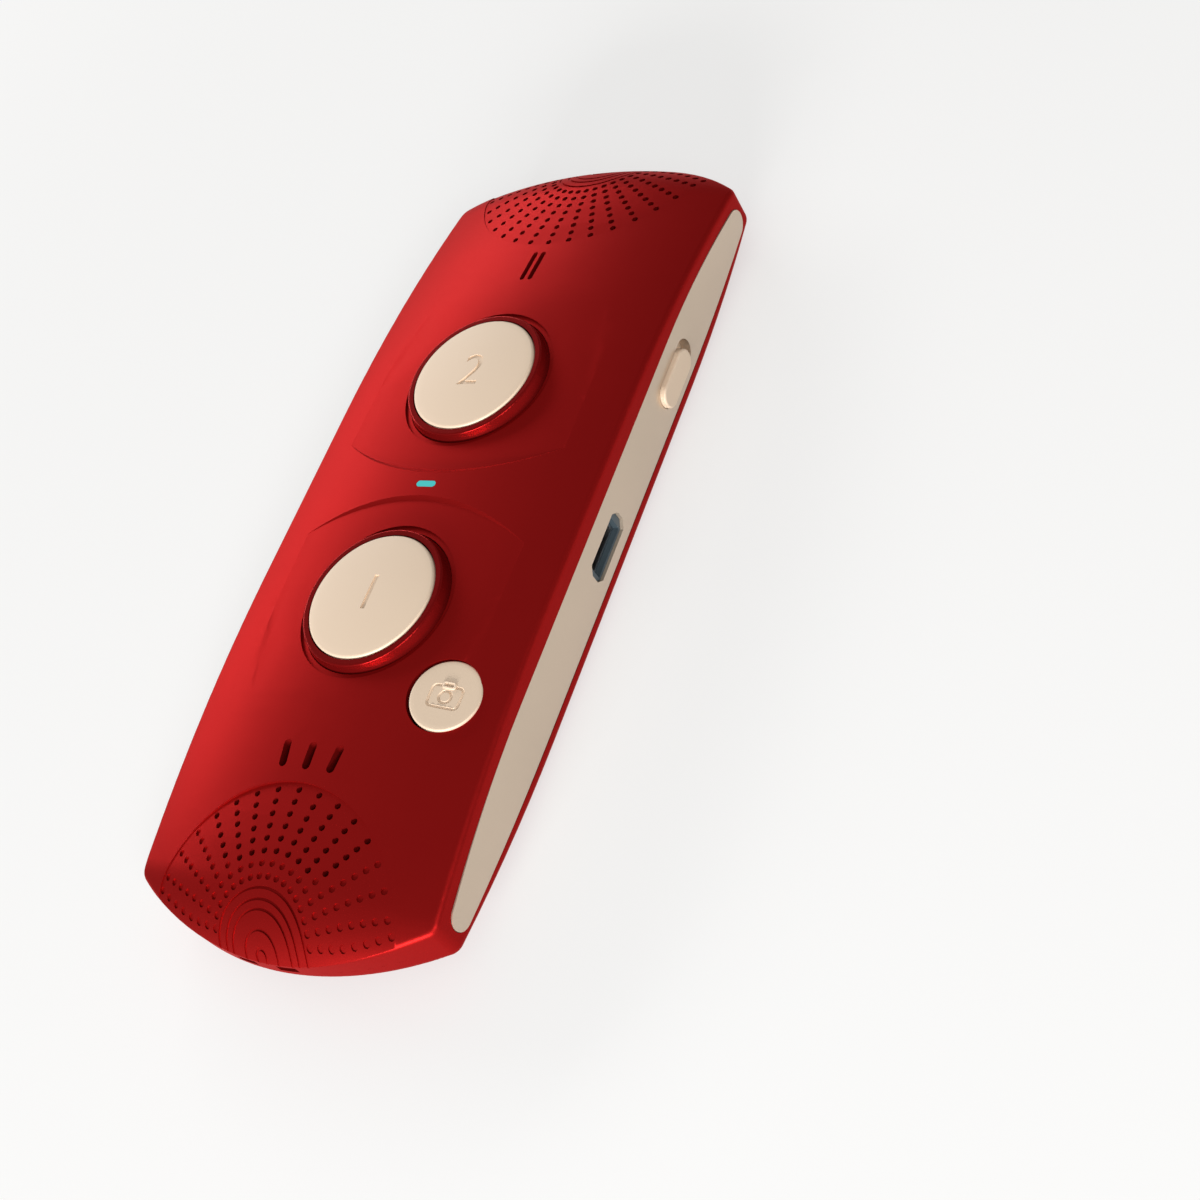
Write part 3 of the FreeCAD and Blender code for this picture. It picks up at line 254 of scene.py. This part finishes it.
# %% [markdown]
# ## The finishes
# Each finish is a small node tree round one Principled shader. Its colour drifts between
# two tones, and its roughness and height follow the grain. The case is a metallic satin
# red: a metal part in the paint and a red tint on its gloss keep the highlights red, where
# plain plastic would turn them pink. The keys and strips have only a little metal in them.

# %% One finish
grain_height = 0.1 * mm
roughness_swing = 0.08
clear = (1.0, 1.0, 1.0)


def finish_material(
    name, colour, darker, roughness, metallic=0.0, coat=0.0, fine=grain_scale, bump=0.02,
    gloss_tint=clear,
):
    """A moulded or painted surface: its colour drifts to a darker one, and its
    roughness and height follow the grain."""
    material, tree, paint = new_material(
        name, Metallic=metallic, Coat_Weight=coat, Specular_Tint=(*gloss_tint, 1)
    )
    effect = add_node(tree, "ShaderNodeGroup", node_tree=grain)
    effect.inputs["Fine Scale"].default_value = fine
    blend = add_node(tree, "ShaderNodeMix", data_type="RGBA")
    blend.inputs["A"].default_value = (*darker, 1)
    blend.inputs["B"].default_value = (*colour, 1)
    tree.links.new(effect.outputs["Broad"], blend.inputs["Factor"])
    tree.links.new(blend.outputs["Result"], paint.inputs["Base Color"])
    swing = math_node(tree, "MULTIPLY", effect.outputs["Fine"], roughness_swing)
    rough = math_node(tree, "ADD", swing, roughness - roughness_swing / 2)
    tree.links.new(rough, paint.inputs["Roughness"])
    bumps = add_node(tree, "ShaderNodeBump")
    bumps.inputs["Strength"].default_value = bump
    bumps.inputs["Distance"].default_value = grain_height
    tree.links.new(effect.outputs["Fine"], bumps.inputs["Height"])
    tree.links.new(bumps.outputs["Normal"], paint.inputs["Normal"])
    return material


# %% The finishes, one for each slot of the part's record
red_glint = (1.0, 0.05, 0.04)
red_gloss_level = 0.2
light_colour = (0.02, 0.60, 0.60, 1)
light_strength = 0.45
slot_finish = {
    "red_shell": finish_material(
        "red_satin", (0.34, 0.010, 0.009), (0.30, 0.008, 0.008), 0.43,
        metallic=0.7, gloss_tint=red_glint,
    ),
    # The collars are the case's red, set darker here: painted shade for the dim ring round each
    # key.
    "red_gloss": finish_material(
        "red_gloss", (0.24, 0.007, 0.007), (0.21, 0.006, 0.006), 0.26,
        metallic=0.6, gloss_tint=red_glint,
    ),
    "champagne": finish_material(
        "champagne", (0.84, 0.66, 0.49), (0.80, 0.62, 0.46), 0.50,
        metallic=0.12, fine=2600.0, bump=0.05,
    ),
    "champagne_trim": finish_material(
        "champagne_trim", (0.66, 0.53, 0.41), (0.58, 0.47, 0.36), 0.34, metallic=0.55
    ),
    "slate_plastic": finish_material(
        "dark_slate", (0.07, 0.10, 0.12), (0.06, 0.085, 0.10), 0.45
    ),
    "black_plastic": finish_material(
        "black_plastic", (0.02, 0.02, 0.022), (0.012, 0.012, 0.013), 0.5
    ),
    "black_rubber": finish_material(
        "black_rubber", (0.018, 0.018, 0.018), (0.012, 0.012, 0.012), 0.75
    ),
    "white_plastic": finish_material(
        "white_plastic", (0.75, 0.75, 0.72), (0.7, 0.7, 0.67), 0.5
    ),
    "board_green": finish_material(
        "board_green", (0.02, 0.14, 0.05), (0.016, 0.11, 0.04), 0.3
    ),
    "steel": finish_material(
        "bright_steel", (0.6, 0.6, 0.6), (0.5, 0.5, 0.5), 0.3, metallic=1.0
    ),
    "battery_wrap": finish_material(
        "silver_wrap", (0.5, 0.52, 0.55), (0.42, 0.44, 0.47), 0.35, metallic=0.6
    ),
    "black_cloth": finish_material(
        "black_cloth", (0.012, 0.008, 0.008), (0.006, 0.004, 0.004), 0.9
    ),
    "window_glass": finish_material(
        "window_glass", (0.02, 0.02, 0.022), (0.015, 0.015, 0.018), 0.08, coat=0.5
    ),
    "cyan_light": finish_material(
        "cyan_light", (0.03, 0.30, 0.30), (0.03, 0.26, 0.26), 0.3
    ),
}


def shader_of(slot):
    """The Principled shader of a slot's finish."""
    return slot_finish[slot].node_tree.nodes["Principled BSDF"]


for slot in ("red_shell", "red_gloss"):
    shader_of(slot).inputs["Specular IOR Level"].default_value = red_gloss_level
shader_of("cyan_light").inputs["Emission Color"].default_value = light_colour
shader_of("cyan_light").inputs["Emission Strength"].default_value = light_strength
print(len(slot_finish), "finishes")

# %% [markdown]
# ## The finishes on the solids
# The part's record says which slot each solid has, so one loop dresses them all, also the
# board, battery and speakers that only an open case would show.

# %% Finishes on the nodes
for part in frame["record"]["subparts"]:
    solid = nodes[part["node"]]
    solid.data.materials.clear()
    solid.data.materials.append(slot_finish[part["material_slot"]])

# %% [markdown]
# ## The front shell
# The thumb zones run out into the face without a line on the real case. The solid meets
# the face there at a very small angle, and that angle catches the light as a thin line.
# A copy of the shell with its vertices merged takes its shading at each vertex from the
# largest faces round it, so the narrow strips along those borders shade with the face.

# %% Front shell: eased shading
merge_gap = 0.002 * mm
true_edge = math.radians(24)
even_weight = 50


def pick(piece):
    """Select one piece and make it active."""
    bpy.ops.object.select_all(action="DESELECT")
    piece.select_set(True)
    bpy.context.view_layer.objects.active = piece


def eased_copy(node):
    """A merged copy of a node whose shading follows its large faces."""
    piece = nodes[node].copy()
    piece.data = nodes[node].data.copy()
    piece.name = node + "_eased"
    scene.collection.objects.link(piece)
    pick(piece)
    bpy.ops.mesh.customdata_custom_splitnormals_clear()
    bpy.ops.object.mode_set(mode="EDIT")
    bpy.ops.mesh.select_all(action="SELECT")
    bpy.ops.mesh.remove_doubles(threshold=merge_gap)
    bpy.ops.object.mode_set(mode="OBJECT")
    bpy.ops.object.shade_smooth_by_angle(angle=true_edge)
    ease = piece.modifiers.new("ease", "WEIGHTED_NORMAL")
    ease.mode = "FACE_AREA"
    ease.weight = even_weight
    ease.keep_sharp = True
    bpy.ops.object.modifier_apply(modifier=ease.name)
    return piece


shell = eased_copy("front_shell")
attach(shell, "case")
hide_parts("front_shell")
print(shell.name, len(shell.data.polygons), "faces")

# %% [markdown]
# ## The keys
# A key is a turned form: an upright side, a small rounded edge and a shallow dome, or a
# flat top on the camera key. It could be one curve spun round an axis. Here a round face
# is extruded ring by ring, because that leaves clean rings for the engraving to cut.

# %% Keys: the turned form
key_sides = 128
dome_steps = 8
edge_steps = 4
top_dot = 0.15  # the flat in the middle of the dome, as a share of its radius


def ring_up(radius_now, radius_next, rise):
    """Extrude the top face once, to a new radius and height."""
    bpy.ops.mesh.extrude_region_move(TRANSFORM_OT_translate={"value": (0, 0, rise)})
    factor = radius_next / radius_now
    bpy.ops.transform.resize(value=(factor, factor, 1), center_override=(0, 0, 0))


def key_rings(radius, edge, dome, sink):
    """The (radius, height) of each ring, from the top of the side to the top of the dome."""
    rings = [(radius, sink - edge)]
    for step in range(1, edge_steps + 1):
        turn = math.pi / 2 * step / edge_steps
        inward, upward = edge * (1 - math.cos(turn)), edge * math.sin(turn)
        rings.append((radius - inward, sink - edge + upward))
    flat = radius - edge
    for step in range(1, dome_steps + 1):
        share = 1 - (1 - top_dot) * step / dome_steps
        rings.append((flat * share, sink + dome * (1 - share**2)))
    return rings


def turned_key(name, radius, rim_height, edge, dome, sink):
    """A closed key about the z axis, its rim at a height, made from one round face.
    Its side reaches down into the case by the sink, short of the switch under it."""
    bpy.ops.object.select_all(action="DESELECT")
    bpy.ops.mesh.primitive_circle_add(
        vertices=key_sides, radius=radius, fill_type="NGON", location=(0, 0, 0)
    )
    key = bpy.context.object
    key.name = name
    bpy.ops.object.mode_set(mode="EDIT")
    bpy.ops.mesh.select_all(action="SELECT")
    now, height = radius, 0.0
    for ring_radius, ring_height in key_rings(radius, edge, dome, sink):
        ring_up(now, ring_radius, ring_height - height)
        now, height = ring_radius, ring_height
    bpy.ops.mesh.select_all(action="SELECT")
    bpy.ops.mesh.normals_make_consistent(inside=False)
    bpy.ops.transform.translate(value=(0, 0, rim_height - sink))
    bpy.ops.object.mode_set(mode="OBJECT")
    return key


# %% [markdown]
# ## The engraving
# The marks on the keys are cut by a boolean modifier, the way a cutter engraves the real
# key, and its exact solver copes with cutters that overlap. A number is a text made a mesh
# and sunk by its depth. A line is a round wire, half of it under the surface.

# %% Keys: the engraving
mark_depth = 0.22 * mm
number_height = 7.8 * mm
number_thinning = -0.02 * mm
groove_radius = 0.2 * mm
groove_resolution = 2
corner_segments = 4
rim_angle = math.radians(30)


def number_cutter(digit, surface):
    """A plain number that reads along x, its foot just under a surface."""
    bpy.ops.object.text_add(location=(0, 0, 0))
    text = bpy.context.object
    text.data.body = digit
    text.data.align_x = "CENTER"
    text.data.align_y = "CENTER"
    text.data.size = number_height
    text.data.offset = number_thinning
    text.data.extrude = mark_depth
    bpy.ops.object.convert(target="MESH")
    cutter = bpy.context.object
    cutter.data.transform(Matrix.Translation((0, 0, surface)))
    return cutter


def wire_cutter(outline):
    """A round wire along the edges of an open outline, ready to cut a groove."""
    pick(outline)
    bpy.ops.object.convert(target="CURVE")
    wire = bpy.context.object
    wire.data.bevel_depth = groove_radius
    wire.data.bevel_resolution = groove_resolution
    bpy.ops.object.convert(target="MESH")
    return bpy.context.object


def outline_of(sides, width, height, rise, corner=0.0, turn=0.0):
    """An outline of edges only, its middle at a rise along y: a round, or with four sides
    and an eighth of a turn an upright rectangle, whose corners are rounded."""
    bpy.ops.object.select_all(action="DESELECT")
    bpy.ops.mesh.primitive_circle_add(
        vertices=sides, radius=0.5, fill_type="NGON", rotation=(0, 0, turn)
    )
    outline = bpy.context.object
    if turn:
        outline.data.transform(outline.matrix_world)
        outline.matrix_world = Matrix.Identity(4)
        outline.data.transform(Matrix.Scale(math.sqrt(2), 4))
    outline.data.transform(Matrix.Diagonal((width, height, 1, 1)))
    outline.data.transform(Matrix.Translation((0, rise, 0)))
    bpy.ops.object.mode_set(mode="EDIT")
    bpy.ops.mesh.select_all(action="SELECT")
    if corner:
        bpy.ops.mesh.bevel(offset=corner, segments=corner_segments, affect="VERTICES")
    bpy.ops.mesh.select_all(action="SELECT")
    bpy.ops.mesh.delete(type="ONLY_FACE")
    bpy.ops.object.mode_set(mode="OBJECT")
    return outline


def engrave(piece, cutters):
    """Cut each cutter out of a piece with an applied boolean."""
    for cutter in cutters:
        pick(piece)
        cut = piece.modifiers.new("cut", "BOOLEAN")
        cut.operation = "DIFFERENCE"
        cut.solver = "EXACT"
        cut.use_self = True
        cut.object = cutter
        bpy.ops.object.modifier_apply(modifier=cut.name)
        bpy.data.objects.remove(cutter)
    bpy.ops.object.shade_smooth_by_angle(angle=rim_angle)


def seat_key(piece, node, body, place):
    """Move a key into its place, in its mesh, and let it stand for its node."""
    piece.data.transform(place)
    piece.data.materials.clear()
    piece.data.materials.append(slot_finish["champagne"])
    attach(piece, body)
    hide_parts(node)
    print(piece.name, len(piece.data.polygons), "faces")


# %% [markdown]
# ## The talk keys
# The two large keys are alike but for their number. Their height and place are read from
# the solids, so that each key presses with its own collar round it.

# %% Talk keys
talk_radius = 9.6 * mm
talk_edge = 0.35 * mm
talk_dome = 0.4 * mm
talk_sink = 4.2 * mm
for digit, side in (("2", "upper"), ("1", "lower")):
    low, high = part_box(side + "_talk_button")
    rim = high.z - talk_dome
    key = turned_key(side + "_talk_key", talk_radius, rim, talk_edge, talk_dome, talk_sink)
    engrave(key, [number_cutter(digit, high.z)])
    place = Matrix.Translation((0, (low.y + high.y) / 2, 0))
    seat_key(key, side + "_talk_button", side + "_button", place)

# %% [markdown]
# ## The camera key
# The small key follows the slope of the face, so it leans to the right. It is modelled and
# engraved upright on the origin, with a plain pictogram of a camera: a body, a lens and a
# finder. Only then is it leaned and moved to where its solid is.

# %% Camera key
camera_radius = 4.97 * mm
camera_edge = 0.25 * mm
camera_sink = 2.6 * mm
camera_tilt = math.radians(10)
eighth = math.pi / 4
body_width, body_height, body_corner, body_rise = 4.4 * mm, 3.0 * mm, 0.6 * mm, -0.25 * mm
lens_sides, lens_width = 48, 1.7 * mm
finder_width, finder_height, finder_corner, finder_rise = 1.6 * mm, 0.7 * mm, 0.2 * mm, 1.4 * mm

low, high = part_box("camera_button")
camera_key = turned_key("camera_key", camera_radius, 0, camera_edge, 0.0, camera_sink)
pictogram = [
    outline_of(4, body_width, body_height, body_rise, body_corner, eighth),
    outline_of(lens_sides, lens_width, lens_width, body_rise),
    outline_of(4, finder_width, finder_height, finder_rise, finder_corner, eighth),
]
engrave(camera_key, [wire_cutter(outline) for outline in pictogram])
top = Vector((high.x - camera_radius * math.cos(camera_tilt), (low.y + high.y) / 2, 0))
top.z = high.z - camera_radius * math.sin(camera_tilt)
lean = Matrix.Translation(top) @ Matrix.Rotation(camera_tilt, 4, "Y")
seat_key(camera_key, "camera_button", "photo_button", lean)
